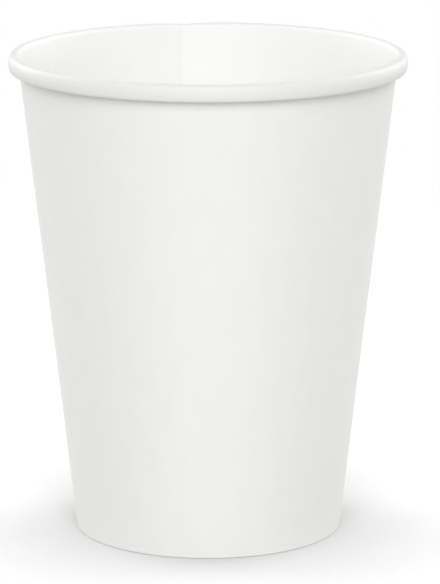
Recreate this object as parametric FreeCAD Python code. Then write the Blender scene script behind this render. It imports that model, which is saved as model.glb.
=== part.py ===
import FreeCAD, Part
import math
import os

from FreeCAD import Vector

# A paper cup for hot drinks, 350 ml, in millimetres. It stands on its base
# ring at z = 0, its axis is Z, and its side seam is at the back, towards +Y.
# It is made from two pieces of coated board: a fan-shaped blank rolled into
# the sidewall, and a round blank pressed into the bottom.

# Overall sizes
cup_height = 109.5
rim_diameter = 90.0
base_diameter = 60.5        # outer face of the wall, produced down to z = 0

# Board
wall_thickness = 0.35
bottom_thickness = 0.35
seal_gap = 0.05             # sealing film between the bottom's skirt and the board on each side

# Rolled rim, an upright oval of three arcs, measured on its outer face
rim_top_radius = 1.2
rim_side_radius = 4.7
rim_lower_radius = 0.8
rim_side_angle = 30.0       # turn of the flatter outer side, half of it above the widest point
rim_tail = 0.7              # straight end of the roll, tucked up inside it

# Base ring, where the wall is folded in and up round the bottom's skirt
hem_height = 6.5
fold_radius = 0.05          # inside the creased corners of the fold

# Side seam, along the cone's own straight lines
seam_angle = 99.0           # inner raw edge, from +X towards +Y
lap_angle = 10.5            # about 6.7 mm of overlap at half height
lap_ramp_angle = 6.0        # where the board steps up over the edge that it laps
fold_ramp_angle = 3.0       # past the lap, where the fold comes down to one layer of board

# Bottom
floor_height = 8.5          # upper face of the bottom, inside the cup
bottom_bend_radius = 0.7    # outside of the bend between disc and skirt
skirt_clearance = 0.1       # skirt's raw edge above the doubled board of the fold


def heading(degrees):
    """Unit direction in the section, where x is the radius and y is the height."""
    return Vector(math.cos(math.radians(degrees)), math.sin(math.radians(degrees)), 0)


def right_of(direction):
    return Vector(direction.y, -direction.x, 0)


def face_edges(start, first_heading, steps, depth):
    """The edges of one face of a bent sheet, which lies depth to the right of the walked path.

    A step is (length, 0) for a straight, or (radius, turn) for a bend, with turn in degrees to
    the left. The radius belongs to the walked path, so that all depths share the bend's centre.
    """
    edges = []
    place, course = start, first_heading
    for size, turn in steps:
        direction = heading(course)
        if turn == 0:
            ahead = place + direction * size
            shift = right_of(direction) * depth
            edges.append(Part.LineSegment(place + shift, ahead + shift))
            place = ahead
            continue
        side = -1 if turn > 0 else 1
        centre = place + right_of(direction) * size * side
        points = []
        for share in (0, 0.5, 1):
            outward = right_of(heading(course + turn * share)) * -side
            points.append(centre + outward * (size - depth * side))
        edges.append(Part.Arc(*points))
        place = centre + right_of(heading(course + turn)) * -side * size
        course += turn
    return edges


def section(start, first_heading, steps, near, far):
    """The face of a bent sheet between two depths, stood up in the XZ plane."""
    near_edges = face_edges(start, first_heading, steps, near)
    far_edges = face_edges(start, first_heading, steps, far)
    start_edge = Part.LineSegment(far_edges[0].StartPoint, near_edges[0].StartPoint)
    end_edge = Part.LineSegment(near_edges[-1].EndPoint, far_edges[-1].EndPoint)
    for edge in far_edges:
        edge.reverse()
    loop = [start_edge] + near_edges + [end_edge] + far_edges[::-1]
    wire = Part.Wire([edge.toShape() for edge in loop])
    wire.rotate(Vector(0, 0, 0), Vector(1, 0, 0), 90)
    return wire


def turned(wire, from_angle, to_angle):
    """The solid that a section sweeps about the cup's axis."""
    placed = wire.copy()
    placed.rotate(Vector(0, 0, 0), Vector(0, 0, 1), from_angle)
    return Part.Face(placed).revolve(Vector(0, 0, 0), Vector(0, 0, 1), to_angle - from_angle)


def ramp(first_wire, from_angle, last_wire, to_angle):
    """The solid between two sections of the same sheet at different angles."""
    first, last = first_wire.copy(), last_wire.copy()
    first.rotate(Vector(0, 0, 0), Vector(0, 0, 1), from_angle)
    last.rotate(Vector(0, 0, 0), Vector(0, 0, 1), to_angle)
    return Part.makeLoft([first, last], True, True)


# The wall's slope: its inner face is tangent to the rim's top arc and lies one
# board inside the base circle.
half_side = rim_side_angle / 2
rim_centre_radius = (
    rim_diameter / 2 - rim_side_radius
    + (rim_side_radius - rim_top_radius) * math.cos(math.radians(half_side))
)
rim_centre_height = cup_height - rim_top_radius
run = Vector(rim_centre_radius - base_diameter / 2, rim_centre_height, 0)
lean = math.degrees(
    math.atan2(run.x, run.y) - math.asin((rim_top_radius - wall_thickness) / run.Length)
)
up_wall = 90 - lean
wall_direction = heading(up_wall)
into_cup = right_of(wall_direction) * -1


def inner_face_at(height, depth=0):
    """Point of the wall's inner face at a height, or of a face that lies depth inside it."""
    foot = Vector(base_diameter / 2, 0, 0) + into_cup * (wall_thickness + depth)
    return foot + wall_direction * ((height - foot.y) / wall_direction.y)


# The bottom's skirt stands in the fold, with a film of seal on both sides.
fold_width = bottom_thickness + 2 * seal_gap


def sidewall_path(lift):
    """The inner face of the blank, from the hem's raw edge to the tail of the rim's roll.

    lift raises the fold, which makes room for the second layer of board under it.
    """
    fold_height = wall_thickness + lift
    hem_corner = inner_face_at(fold_height, fold_width)
    wall_corner = inner_face_at(fold_height)
    hem_turn = 90 + lean
    wall_turn = 90 - lean
    hem_inset = fold_radius * math.tan(math.radians(hem_turn / 2))
    wall_inset = fold_radius * math.tan(math.radians(wall_turn / 2))
    start = inner_face_at(hem_height, fold_width)
    rim_start = Vector(rim_centre_radius, rim_centre_height, 0) + into_cup * rim_top_radius
    steps = [
        ((hem_corner - start).Length - hem_inset, 0),
        (fold_radius, hem_turn),
        ((wall_corner - hem_corner).Length - hem_inset - wall_inset, 0),
        (fold_radius, wall_turn),
        ((rim_start - wall_corner).Length - wall_inset, 0),
        (rim_top_radius, -(up_wall + 90 - half_side)),
        (rim_side_radius, -rim_side_angle),
        (rim_lower_radius, -(180 - half_side - lean)),
        (rim_tail, 0),
    ]
    return start, up_wall - 180, steps


def sidewall_section(lift, near, far):
    start, course, steps = sidewall_path(lift)
    return section(start, course, steps, near, far)


def sidewall():
    """The rolled blank: once round the cup, then up over its own first edge and along it.

    The outer layer lies on the wall's outside, so it is inside the rim's roll and below and
    inside the hem. Where both layers run, they are sealed into one thickness.
    """
    single = sidewall_section(0, 0, wall_thickness)
    inner_layer = sidewall_section(wall_thickness, 0, wall_thickness)
    outer_layer = sidewall_section(wall_thickness, wall_thickness, 2 * wall_thickness)
    both_layers = sidewall_section(wall_thickness, 0, 2 * wall_thickness)
    lap_start = seam_angle
    lap_end = lap_start + lap_angle
    single_start = lap_end + fold_ramp_angle
    single_end = lap_start + 360 - lap_ramp_angle
    lap = turned(both_layers, lap_start, lap_end)
    fold_ramp = ramp(inner_layer, lap_end, single, single_start)
    once_round = turned(single, single_start, single_end)
    seam_ramp = ramp(single, single_end, outer_layer, lap_start + 360)
    return lap.fuse([fold_ramp, once_round, seam_ramp])


def bottom():
    """The pressed round blank: a flat disc with its edge turned down into the fold."""
    skirt_turn = 90 + lean
    skirt_corner = inner_face_at(floor_height, seal_gap)
    bend_inset = bottom_bend_radius * math.tan(math.radians(skirt_turn / 2))
    skirt_end = 2 * wall_thickness + skirt_clearance
    skirt_end_point = inner_face_at(skirt_end, seal_gap)
    steps = [
        (skirt_corner.x - bend_inset, 0),
        (bottom_bend_radius, -skirt_turn),
        ((skirt_corner - skirt_end_point).Length - bend_inset, 0),
    ]
    wire = section(Vector(0, floor_height, 0), 0, steps, 0, bottom_thickness)
    return Part.Face(wire).revolve(Vector(0, 0, 0), Vector(0, 0, 1), 360)


def export(name, shape):
    solids = shape.Solids
    if len(solids) != 1 or not solids[0].isValid():
        raise ValueError(f"{name} is not one valid solid")
    solids[0].exportStep(f"parts/{name}.step")
    print(name, "volume in mm3:", round(solids[0].Volume, 1))


os.makedirs("parts", exist_ok=True)
export("sidewall", sidewall())
export("bottom", bottom())
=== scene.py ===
import cmath
import math

import bmesh
import bpy
import numpy as np
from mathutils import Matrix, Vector


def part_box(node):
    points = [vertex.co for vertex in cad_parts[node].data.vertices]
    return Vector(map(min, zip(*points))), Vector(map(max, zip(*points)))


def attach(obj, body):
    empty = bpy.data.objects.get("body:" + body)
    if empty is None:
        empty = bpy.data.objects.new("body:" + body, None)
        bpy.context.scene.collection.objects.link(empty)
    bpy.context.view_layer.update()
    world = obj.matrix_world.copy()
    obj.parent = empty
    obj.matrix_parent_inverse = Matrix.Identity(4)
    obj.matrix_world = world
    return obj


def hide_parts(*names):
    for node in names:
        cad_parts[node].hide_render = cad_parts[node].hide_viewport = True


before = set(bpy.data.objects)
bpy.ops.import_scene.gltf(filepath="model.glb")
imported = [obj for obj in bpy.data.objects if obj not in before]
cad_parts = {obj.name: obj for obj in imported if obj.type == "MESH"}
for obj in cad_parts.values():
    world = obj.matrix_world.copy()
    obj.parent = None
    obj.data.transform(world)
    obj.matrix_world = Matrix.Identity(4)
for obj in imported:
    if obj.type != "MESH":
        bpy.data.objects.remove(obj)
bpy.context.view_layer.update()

# Sidewall
# One fan-shaped blank of bleached cup board, 0.35 mm thick, with a film of polyethylene on its inner
# face. It is rolled into a cone, lapped and heat-sealed along a straight seam at the back, rolled
# outward at the top, and folded in and up at the bottom, where a knurled wheel presses the fold.
mm = 0.001
wall_low, wall_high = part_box("sidewall")
cup_height = wall_high.z
rim_radius = (wall_high.x - wall_low.x) / 2
base_radius = 30.25 * mm
board = 0.35 * mm
rim_top_radius = 1.2 * mm
rim_side_radius = 4.7 * mm
rim_lower_radius = 0.8 * mm
rim_side_turn = 30
rim_tail = 0.7 * mm
hem_height = 6.5 * mm
fold_radius = 0.05 * mm
floor_height = 8.5 * mm
skirt_gap = 0.05 * mm
skirt_room = board + 2 * skirt_gap

# Angles round the cup, in degrees: the lap of the seam, the runs over which the outer layer steps onto
# it and the fold steps off it, the skived and pressed edges, the width of the painted shadow line along
# the skived edge, and how far past the lap the painted shade over it reaches and how it fades.
seam = 99.0
lap = 10.5
lap_ramp = 12.0
fold_ramp = 3.0
skived_width = 9.0
pressed_width = 3.0
painted_seam_line_width = 0.8
painted_lap_margin = 1.0
painted_lap_fade = 1.5

# Marks of the tools: how deep they go. Then how strongly painted shade darkens the board's colour over
# the lap, and along the skived edge as a painted shadow line.
inner_skive = 0.2 * mm
outer_press = 0.06 * mm
knurls = 90
knurl_depth = 0.12 * mm
knurl_low = 1.2 * mm
knurl_high = hem_height - 0.8 * mm
painted_lap_tone = 0.1
painted_seam_line_tone = 0.45

# Samples along the section of the blank
hem_steps = 7
fold_steps = 5
wall_steps = 30
rim_top_steps = 16
rim_side_steps = 4
rim_lower_steps = 12

rim_centre = complex(
    rim_radius - rim_side_radius
    + (rim_side_radius - rim_top_radius) * math.cos(math.radians(rim_side_turn / 2)),
    cup_height - rim_top_radius,
)
wall_run = rim_centre - base_radius
lean = math.pi / 2 - cmath.phase(wall_run) - math.asin((rim_top_radius - board) / abs(wall_run))
up_wall = cmath.exp(1j * (math.pi / 2 - lean))
into_cup = 1j * up_wall


def wall_face(height, depth):
    """Point of the section, as radius + height * 1j, that lies depth inside the wall's outer face."""
    foot = base_radius + into_cup * depth
    return foot + up_wall * ((height - foot.imag) / up_wall.imag)


def walked(start, course, steps):
    """Samples of a bent sheet's inner face, and the unit direction through the board at each.

    A step is (length, 0, samples) for a straight, or (radius, turn, samples) for a bend.
    """
    points, across = [], []
    place, heading = start, course
    for size, turn, samples in steps:
        right = -1j * heading
        side = -1 if turn > 0 else 1
        for share in np.arange(samples + 1) / samples:
            if turn == 0:
                points.append(place + heading * size * share)
                across.append(right)
            else:
                bent = cmath.exp(1j * math.radians(turn * share))
                points.append(place + right * side * size * (1 - bent))
                across.append(right * bent)
        place, heading = points.pop(), 1j * across.pop()
    return np.array(points + [place]), np.array(across + [-1j * heading])


def blank_section(lift):
    """The blank's inner face from the hem's cut edge round the fold, up the wall and round the rim.

    lift is how far the fold stands off the table, where it lies on another layer's fold.
    """
    fold_face = board + lift
    hem_corner = wall_face(fold_face, board + skirt_room)
    wall_corner = wall_face(fold_face, board)
    lean_degrees = math.degrees(lean)
    hem_inset = fold_radius * math.tan((math.pi / 2 + lean) / 2)
    wall_inset = fold_radius * math.tan((math.pi / 2 - lean) / 2)
    start = wall_face(hem_height, board + skirt_room)
    rim_start = rim_centre + into_cup * rim_top_radius
    steps = [
        (abs(hem_corner - start) - hem_inset, 0, hem_steps),
        (fold_radius, 90 + lean_degrees, fold_steps),
        (abs(wall_corner - hem_corner) - hem_inset - wall_inset, 0, 1),
        (fold_radius, 90 - lean_degrees, fold_steps),
        (abs(rim_start - wall_corner) - wall_inset, 0, wall_steps),
        (rim_top_radius, lean_degrees - 180 + rim_side_turn / 2, rim_top_steps),
        (rim_side_radius, -rim_side_turn, rim_side_steps),
        (rim_lower_radius, lean_degrees - 180 + rim_side_turn / 2, rim_lower_steps),
        (rim_tail, 0, 1),
    ]
    return walked(start, -up_wall, steps)


def smooth(share):
    """Eases a share from 0 to 1, and holds it at either end."""
    share = np.clip(share, 0, 1)
    return share * share * (3 - 2 * share)


# Board is rolled stiff but not perfectly round: the mouth is a little oval and three-cornered, the
# double board of the seam lies flatter than a single one, the bottom's edge shows as a faint shoulder,
# and the wall cockles. A cockle is (waves round the cup, half waves up it, where they start).
oval, oval_start = 0.07 * mm, 0.6
three_cornered, corner_start = 0.03 * mm, 2.1
seam_flat, seam_flat_width, seam_flat_rise = 0.1 * mm, 9, 1 / 8
shoulder, shoulder_width = 0.03 * mm, 1.5 * mm
cockle_depth = 0.05 * mm
cockles = ((5, 1.5, 0.4), (8, 2.5, 1.9), (13, 4, 3.3), (21, 6, 5.1))


def out_of_true(angle, height):
    """How far the board stands in from its true cone, in metres, at an angle in degrees."""
    turn = np.radians(angle)
    share = height / cup_height
    inward = oval * share * (1 - np.cos(2 * turn + oval_start))
    inward += three_cornered * share * (1 - np.cos(3 * turn + corner_start))
    for waves, half_waves, start in cockles:
        swell = np.sin(waves * turn + start) * np.sin(half_waves * math.pi * share + start)
        inward += cockle_depth / math.sqrt(waves) * (1 + swell)
    from_seam = (angle - seam - lap / 2 + 180) % 360 - 180
    inward += seam_flat * np.exp(-(from_seam / seam_flat_width) ** 2) * smooth(share / seam_flat_rise)
    inward -= shoulder * np.exp(-((height - floor_height) / shoulder_width) ** 2)
    return inward


# Places closer together than this are one point, and a turn sharper than this many degrees is an edge.
merge_distance = 0.0001 * mm
sharp_angle = 50


def closed_sheet(name, faces, pressing_and_painted_shade, closed_round):
    """The mesh of a sheet from its two faces, each an array of places by station and sample.

    Material 0 is the first face, 1 the second and 2 the cut edges. A sheet that is closed round has
    its first sample on the axis, where its stations meet in one point. The last argument says, from 0
    to 1, how hard the tools pressed the board and how much painted shade darkens it, and the
    materials read it.
    """
    stations, samples = faces[0].shape[:2]
    index = np.arange(2 * stations * samples).reshape(2, stations, samples)
    if closed_round:
        index = np.concatenate([index, index[:, :1]], axis=1)
    quads, materials = [], []

    def strip(a, b, c, d, material):
        """Quads between four lists of corners, all of one material."""
        made = np.stack([a, b, c, d], axis=-1).reshape(-1, 4)
        quads.append(made)
        materials.append(np.full(len(made), material))

    near, far = index
    strip(near[:-1, :-1], near[:-1, 1:], near[1:, 1:], near[1:, :-1], 0)
    strip(far[:-1, :-1], far[1:, :-1], far[1:, 1:], far[:-1, 1:], 1)
    strip(near[:-1, -1], far[:-1, -1], far[1:, -1], near[1:, -1], 2)
    if not closed_round:
        strip(near[:-1, 0], near[1:, 0], far[1:, 0], far[:-1, 0], 2)
        strip(near[0, :-1], far[0, :-1], far[0, 1:], near[0, 1:], 2)
        strip(near[-1, :-1], near[-1, 1:], far[-1, 1:], far[-1, :-1], 2)
    mesh = bpy.data.meshes.new(name)
    mesh.from_pydata(np.concatenate(faces).reshape(-1, 3).tolist(), [], np.concatenate(quads).tolist())
    mesh.polygons.foreach_set("material_index", np.concatenate(materials))
    mesh.polygons.foreach_set("use_smooth", [True] * len(mesh.polygons))
    on_both = np.tile(np.broadcast_to(pressing_and_painted_shade, (stations, samples)).ravel(), 2).astype(np.float32)
    mesh.attributes.new("pressing_and_painted_shade", "FLOAT", "POINT").data.foreach_set("value", on_both)
    if closed_round:
        joined = bmesh.new()
        joined.from_mesh(mesh)
        bmesh.ops.remove_doubles(joined, verts=joined.verts, dist=merge_distance)
        joined.to_mesh(mesh)
        joined.free()
    mesh.set_sharp_from_angle(angle=math.radians(sharp_angle))
    return mesh


def stations_of(*spans):
    """Angles along a blank, from spans of (first angle, last angle, steps) that follow each other."""
    angles = [np.linspace(first, last, steps, endpoint=False) for first, last, steps in spans]
    return np.concatenate(angles + [[spans[-1][1]]])


# The blank runs from the skived edge, inside at the seam, once round and over itself to the pressed
# edge outside. Near the edges and on the ramps its stations lie closer together.
lap_end = seam + lap
once_round = seam + 360
blank_end = once_round + lap
angles = stations_of(
    (seam, seam + painted_seam_line_width, 5),
    (seam + painted_seam_line_width, seam + skived_width, 14),
    (seam + skived_width, lap_end, 3),
    (lap_end, lap_end + fold_ramp, 4),
    (lap_end + fold_ramp, once_round - lap_ramp, 422),
    (once_round - lap_ramp, once_round, 20),
    (once_round, blank_end - pressed_width, 9),
    (blank_end - pressed_width, blank_end, 8),
)
onto_lap = smooth((angles - once_round + lap_ramp) / lap_ramp)
off_lap = 1 - smooth((angles - lap_end) / fold_ramp)
lifted = np.maximum(onto_lap, off_lap)[:, None]
flat_path, through_board = blank_section(0)
lifted_path, _ = blank_section(board)
path = flat_path * (1 - lifted) + lifted_path * lifted
standing_out = onto_lap[:, None] * board
sample = np.arange(path.shape[1])
in_hem = sample < hem_steps
hem_share = np.clip((path.imag - knurl_low) / (knurl_high - knurl_low), 0, 1)
knurl = knurl_depth * (0.5 + 0.5 * np.cos(np.radians(angles) * knurls))[:, None]
pressed_in = knurl * np.sin(math.pi * hem_share) * in_hem
inner_edge = inner_skive * (1 - smooth((angles - seam) / skived_width))[:, None]
outer_edge = outer_press * (1 - smooth((blank_end - angles) / pressed_width))[:, None]
faces = []
for depth in (standing_out + inner_edge, standing_out + board - pressed_in - outer_edge):
    section = path + through_board * depth
    radius = section.real - out_of_true(angles[:, None], section.imag)
    turn = np.radians(angles)[:, None]
    faces.append(np.stack([radius * np.cos(turn), radius * np.sin(turn), section.imag], axis=-1))

# Painted shade darkens the board from just inside the rim's first bend on, faintly over the lap, and as
# a fine painted shadow line along the skived edge. The tools' pressure shows over the whole hem. Where
# either marks it, the board is also a little glossier.
rim_sample = hem_steps + 2 * fold_steps + 1 + wall_steps
roll_first, roll_fade = rim_sample + 3, 4
painted_lap_half = lap / 2 + painted_lap_margin
from_lap_centre = (angles - seam - lap / 2 + 180) % 360 - 180
rim_shade_and_gloss = smooth((sample - roll_first) / roll_fade)
painted_lap_shade = painted_lap_tone * smooth((painted_lap_half - abs(from_lap_centre)) / painted_lap_fade)[:, None]
painted_seam_line = painted_seam_line_tone * (1 - smooth((angles - seam) / painted_seam_line_width))[:, None]
pressing_and_painted_shade = np.maximum(np.maximum(rim_shade_and_gloss, in_hem), np.maximum(painted_lap_shade, painted_seam_line))
sidewall_mesh = closed_sheet("rolled_sidewall", faces, pressing_and_painted_shade, False)
sidewall = bpy.data.objects.new("rolled_sidewall", sidewall_mesh)
bpy.context.collection.objects.link(sidewall)


def linear(hex_colour):
    """An sRGB hex colour as linear RGBA."""
    channels = [int(hex_colour[i:i + 2], 16) / 255 for i in (1, 3, 5)]
    return tuple(c / 12.92 if c <= 0.04045 else ((c + 0.055) / 1.055) ** 2.4 for c in channels) + (1,)


def add_node(material, kind, inputs=(), output=None, **settings):
    """Adds a shader node and returns one of its outputs, the first that is in use by default.

    Settings are the node's properties. Inputs go by identifier: a value is set, an output linked.
    """
    node = material.node_tree.nodes.new(kind)
    for name, value in settings.items():
        setattr(node, name, value)
    sockets = {socket.identifier: socket for socket in node.inputs}
    for name, value in dict(inputs).items():
        if isinstance(value, bpy.types.NodeSocket):
            material.node_tree.links.new(value, sockets[name])
        else:
            sockets[name].default_value = value
    if output:
        return node.outputs[output]
    return next((socket for socket in node.outputs if socket.enabled), None)


# Board runs through the machine along the cup's axis, which draws its clouds and grain out. Its
# roughness swings with the clouds and drops where tools pressed it and where painted shade lies. Its
# fibres break up the mirror part of the shine, so the specular level is a little under that of a smooth
# sheet, 0.5.
machine_stretch = 0.45
roughness_swing = 0.04
pressed_smoother = 0.06
board_ior = 1.5
board_specular = 0.35


def board_surface(name, pale, dark, tooled_and_shaded_colour, roughness, floc, grain, relief):
    """A face of bleached board: cloudy fibre flocs in its colour, and a grain in its bump.

    The fourth colour, greyer, stands where tools pressed the board and where painted shade darkens
    the rim's roll and the seam; there the board is also a little glossier. floc and grain are the
    sizes of a cloud and a grain, and relief is the grain's depth, in metres.
    """
    material = bpy.data.materials.new(name)
    material.use_nodes = True
    material.node_tree.nodes.clear()
    place = add_node(material, "ShaderNodeTexCoord", output="Object")
    along = add_node(
        material, "ShaderNodeMapping", {"Vector": place, "Scale": (1, 1, machine_stretch)},
    )
    clouds = add_node(
        material, "ShaderNodeTexNoise",
        {"Vector": along, "Scale": 1 / floc, "Detail": 3.0, "Roughness": 0.55},
    )
    fibres = add_node(
        material, "ShaderNodeMix",
        {"Factor_Float": clouds, "A_Color": linear(pale), "B_Color": linear(dark)},
        data_type="RGBA",
    )
    pressing_and_painted_shade = add_node(material, "ShaderNodeAttribute", output="Fac", attribute_name="pressing_and_painted_shade")
    colour = add_node(
        material, "ShaderNodeMix",
        {"Factor_Float": pressing_and_painted_shade, "A_Color": fibres, "B_Color": linear(tooled_and_shaded_colour)},
        data_type="RGBA",
    )
    grains = add_node(
        material, "ShaderNodeTexNoise",
        {"Vector": along, "Scale": 1 / grain, "Detail": 4.0, "Roughness": 0.6},
    )
    uneven = add_node(
        material, "ShaderNodeMapRange",
        {"Value": clouds, "From Min": 0.3, "From Max": 0.7, "To Min": roughness - roughness_swing,
         "To Max": roughness + roughness_swing},
    )
    sheen = add_node(
        material, "ShaderNodeMath",
        {"Value": pressing_and_painted_shade, "Value_001": -pressed_smoother, "Value_002": uneven},
        operation="MULTIPLY_ADD",
    )
    swells = add_node(
        material, "ShaderNodeBump", {"Height": clouds, "Strength": 0.5, "Distance": relief * 2},
    )
    bumps = add_node(
        material, "ShaderNodeBump",
        {"Height": grains, "Strength": 0.5, "Distance": relief, "Normal": swells},
    )
    surface = add_node(
        material, "ShaderNodeBsdfPrincipled",
        {"Base Color": colour, "Roughness": sheen, "IOR": board_ior,
         "Specular IOR Level": board_specular, "Normal": bumps},
    )
    add_node(material, "ShaderNodeOutputMaterial", {"Surface": surface})
    return material


# The clouds have the real size of the fibres' flocs, about 3.5 mm on a face. A single fibre is about
# 0.03 mm wide, too fine to show, so the grain is drawn coarser, at 0.2 to 0.5 mm.

# Bleached board with a polyethylene film: the film follows the fibres, so it has a soft gloss.
# Its fourth colour, greyer, is painted shade on the rim's roll, over the lap and along the seam, and
# the tools' marks on the hem and the bottom.
coated_face = board_surface(
    "polyethylene_coated_board", "#F7F7F5", "#F4F4F2", "#E9E9E5", 0.55, 3.5 * mm, 0.5 * mm, 0.004 * mm
)
# The uncoated outer face: the same board, calendered smooth and quite matte.
# Its fourth colour, greyer, is the same painted shade on the rim's roll and at the seam, and the tools'
# marks, on this face.
outer_face = board_surface(
    "calendered_bleached_board", "#F3F3F0", "#EFEFEC", "#EFEFEB", 0.62, 3.5 * mm, 0.4 * mm, 0.005 * mm
)
# Where a knife cut the blank, the raw fibres show a little creamier and rougher.
cut_edge = board_surface(
    "cut_board_edge", "#F0EEE8", "#E8E5DC", "#E8E5DC", 0.8, 0.8 * mm, 0.2 * mm, 0.02 * mm
)
for face in (coated_face, outer_face, cut_edge):
    sidewall.data.materials.append(face)
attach(sidewall, "root")
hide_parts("sidewall")

# Bottom
# One round blank of the same board, coated side up. A punch presses it flat and turns its edge down
# into a skirt, whose fibres gather in fine pleats. The skirt is sealed inside the sidewall's fold.
bend_radius = 0.7 * mm
skirt_end = 0.8 * mm
pleats = 90
pleat_samples = 6
pleat_depth = 0.04 * mm
pleat_start = 0.8 * mm
pleat_run = 2 * mm
punch_radius = 27.5 * mm
punch_step = 0.05 * mm
punch_step_width = 0.6 * mm
punch_mark_width = 1 * mm
dish = 0.25 * mm
disc_steps = 44
bend_steps = 8
skirt_steps = 8

skirt_corner = wall_face(floor_height, board + skirt_gap)
bend_inset = bend_radius * math.tan((math.pi / 2 + lean) / 2)
bend_at = skirt_corner.real - bend_inset
skirt_length = abs(skirt_corner - wall_face(skirt_end, board + skirt_gap)) - bend_inset
disc_path, through_disc = walked(
    complex(0, floor_height), 1,
    [
        (bend_at, 0, disc_steps),
        (bend_radius, -90 - math.degrees(lean), bend_steps),
        (skirt_length, 0, skirt_steps),
    ],
)
bottom_turns = np.radians(np.linspace(0, 360, pleats * pleat_samples, endpoint=False))[:, None]
near_bend = np.exp(-((disc_path.real - bend_at) / pleat_start) ** 2)
down_skirt = smooth((floor_height - disc_path.imag) / pleat_run)
gathered = pleat_depth * (near_bend + down_skirt) / 2 * (1 + np.cos(bottom_turns * pleats)) / 2
dished = dish * (1 - smooth(disc_path.real / bend_at))
stepped = punch_step * (1 - smooth((disc_path.real - punch_radius) / punch_step_width))
sunk = (dished + stepped) * (disc_path.real < bend_at)
faces = []
for depth in (gathered, gathered + board):
    section = disc_path + through_disc * depth - 1j * sunk
    x = section.real * np.cos(bottom_turns)
    y = section.real * np.sin(bottom_turns)
    faces.append(np.stack([x, y, section.imag], axis=-1))
punch_mark = np.exp(-((disc_path.real - punch_radius) / punch_mark_width) ** 2)
bottom_mesh = closed_sheet("pressed_bottom", faces, np.maximum(punch_mark, down_skirt), True)
bottom = bpy.data.objects.new("pressed_bottom", bottom_mesh)
bpy.context.collection.objects.link(bottom)
for face in (coated_face, outer_face, cut_edge):
    bottom.data.materials.append(face)
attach(bottom, "root")
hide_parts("bottom")

# Floor
# A sheet of white card. Near the cup it carries the cup's soft shadow, and further out it goes over
# into the white of the room, which a camera and a reflection see at full strength. Close under the
# edge of the base it throws light up, which keeps the underside of the fold from going black.
card_radius = 0.5
card_grey = 0.6
card_glow = 0.67
shade_distance = 0.09
shade_power = 2.4
shadow_reach = 0.16
card_reach = 0.42
bounce_reach = 4 * mm
bounce_glow = 0.12
floor_mesh = bpy.data.meshes.new("floor")
rim_of_card = [cmath.rect(card_radius, math.radians(angle)) for angle in range(0, 360, 5)]
floor_mesh.from_pydata([(p.real, p.imag, 0) for p in rim_of_card], [], [range(len(rim_of_card))])
floor = bpy.data.objects.new("floor", floor_mesh)
bpy.context.collection.objects.link(floor)


def seen_directly(tree_owner):
    """A shader value of 1 for camera, glossy and transmission rays, and 0 for the rest."""
    camera_ray = add_node(tree_owner, "ShaderNodeLightPath", output="Is Camera Ray")
    path = camera_ray.node
    either = add_node(
        tree_owner, "ShaderNodeMath",
        {"Value": camera_ray, "Value_001": path.outputs["Is Glossy Ray"]}, operation="MAXIMUM",
    )
    return add_node(
        tree_owner, "ShaderNodeMath",
        {"Value": either, "Value_001": path.outputs["Is Transmission Ray"]}, operation="MAXIMUM",
    )


# White card: matte, so it takes a shadow and gives no reflection of the cup.
card = bpy.data.materials.new("white_card")
card.use_nodes = True
card.node_tree.nodes.clear()
seen = seen_directly(card)
matte = add_node(card, "ShaderNodeBsdfDiffuse", {"Color": (card_grey, card_grey, card_grey, 1)})
open_sky = add_node(
    card, "ShaderNodeAmbientOcclusion", {"Distance": shade_distance}, output="AO", samples=8,
)
deeper = add_node(
    card, "ShaderNodeMath", {"Value": open_sky, "Value_001": shade_power}, operation="POWER",
)
shaded = add_node(
    card, "ShaderNodeMath", {"Value": deeper, "Value_001": card_glow}, operation="MULTIPLY",
)
place = add_node(card, "ShaderNodeTexCoord", output="Object")
from_cup = add_node(card, "ShaderNodeVectorMath", {"Vector": place}, output="Value", operation="LENGTH")
under_edge = add_node(
    card, "ShaderNodeMapRange",
    {"Value": from_cup, "From Min": base_radius, "From Max": base_radius + bounce_reach,
     "To Min": bounce_glow, "To Max": 0.0},
)
lift = add_node(
    card, "ShaderNodeMix", {"Factor_Float": seen, "A_Float": under_edge, "B_Float": shaded},
    data_type="FLOAT",
)
glow = add_node(card, "ShaderNodeEmission", {"Color": (1, 1, 1, 1), "Strength": lift})
lit_card = add_node(card, "ShaderNodeAddShader", {"Shader": matte, "Shader_001": glow})
white = add_node(card, "ShaderNodeEmission", {"Color": (1, 1, 1, 1), "Strength": 1.0})
outward = add_node(
    card, "ShaderNodeMapRange",
    {"Value": from_cup, "From Min": shadow_reach, "From Max": card_reach},
    interpolation_type="SMOOTHSTEP",
)
white_share = add_node(
    card, "ShaderNodeMath", {"Value": outward, "Value_001": seen}, operation="MULTIPLY",
)
card_surface = add_node(
    card, "ShaderNodeMixShader", {"Fac": white_share, "Shader": lit_card, "Shader_001": white},
)
add_node(card, "ShaderNodeOutputMaterial", {"Surface": card_surface})
floor_mesh.materials.append(card)

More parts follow.
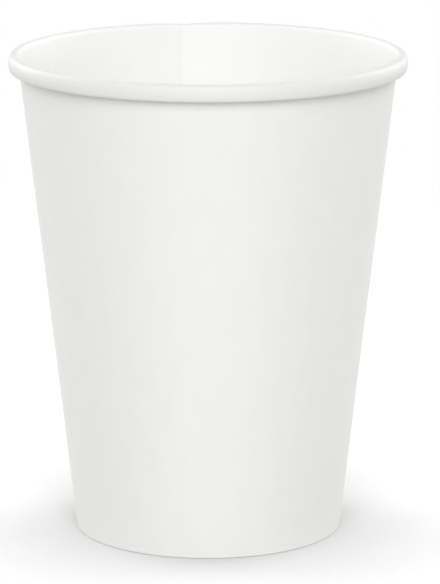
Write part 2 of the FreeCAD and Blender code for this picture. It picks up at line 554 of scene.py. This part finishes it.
# Light
# A white room and three large softboxes: one over the camera, which models the cup's round, and two
# behind the cup, which draw out both its edges.
room_light = 0.42
lamp_width = 1.0
lamp_distance = 1.5
room = bpy.data.worlds.new("white_room")
room.use_nodes = True
room.node_tree.nodes.clear()
bpy.context.scene.world = room
room_lighting = add_node(
    room, "ShaderNodeBackground", {"Color": (1, 1, 1, 1), "Strength": room_light},
)
room_seen = add_node(room, "ShaderNodeBackground", {"Color": (1, 1, 1, 1), "Strength": 1.0})
room_surface = add_node(
    room, "ShaderNodeMixShader",
    {"Fac": seen_directly(room), "Shader": room_lighting, "Shader_001": room_seen},
)
add_node(room, "ShaderNodeOutputWorld", {"Surface": room_surface})


def softbox(name, azimuth, elevation, power):
    """A square lamp with a power in watts, turned to the middle of the cup.

    Azimuth runs from the front to the right, and elevation from the floor up, both in degrees.
    """
    lamp = bpy.data.lights.new(name, "AREA")
    lamp.size = lamp_width
    lamp.energy = power
    holder = bpy.data.objects.new(name, lamp)
    holder.visible_camera = False
    across = math.cos(math.radians(elevation))
    back = Vector((
        math.sin(math.radians(azimuth)) * across,
        -math.cos(math.radians(azimuth)) * across,
        math.sin(math.radians(elevation)),
    ))
    holder.location = Vector((0, 0, cup_height / 2)) + back * lamp_distance
    holder.rotation_euler = back.to_track_quat("Z", "Y").to_euler()
    bpy.context.collection.objects.link(holder)


softbox("front", 0, 30, 14.4)
softbox("back_left", -127, 20, 11.6)
softbox("back_right", 127, 20, 11.2)

# Camera
# It looks down on the cup from 0.9 m through a long lens. The cup's axis at half height falls on the
# named column and row of the picture, and the sensor's width spans the picture's longer side.
picture_width, picture_height = 440, 584
axis_column, middle_row = 208.3, 289.8
pixels_per_metre = 4394
distance = 0.9
tilt = math.radians(12.7)
sensor_in_mm = 36.0
camera_data = bpy.data.cameras.new("camera")
camera_data.sensor_width = sensor_in_mm
camera_data.lens = pixels_per_metre * distance * sensor_in_mm / picture_height
camera_data.clip_start = 0.1
camera_data.clip_end = 20
camera = bpy.data.objects.new("camera", camera_data)
aside = (picture_width / 2 - axis_column) / pixels_per_metre
below = (picture_height / 2 - middle_row) / pixels_per_metre
camera.location = (
    aside,
    -distance * math.cos(tilt) - below * math.sin(tilt),
    cup_height / 2 + distance * math.sin(tilt) - below * math.cos(tilt),
)
camera.rotation_euler = (math.pi / 2 - tilt, 0, 0)
bpy.context.collection.objects.link(camera)
bpy.context.scene.camera = camera
bpy.context.scene.view_settings.view_transform = "Standard"
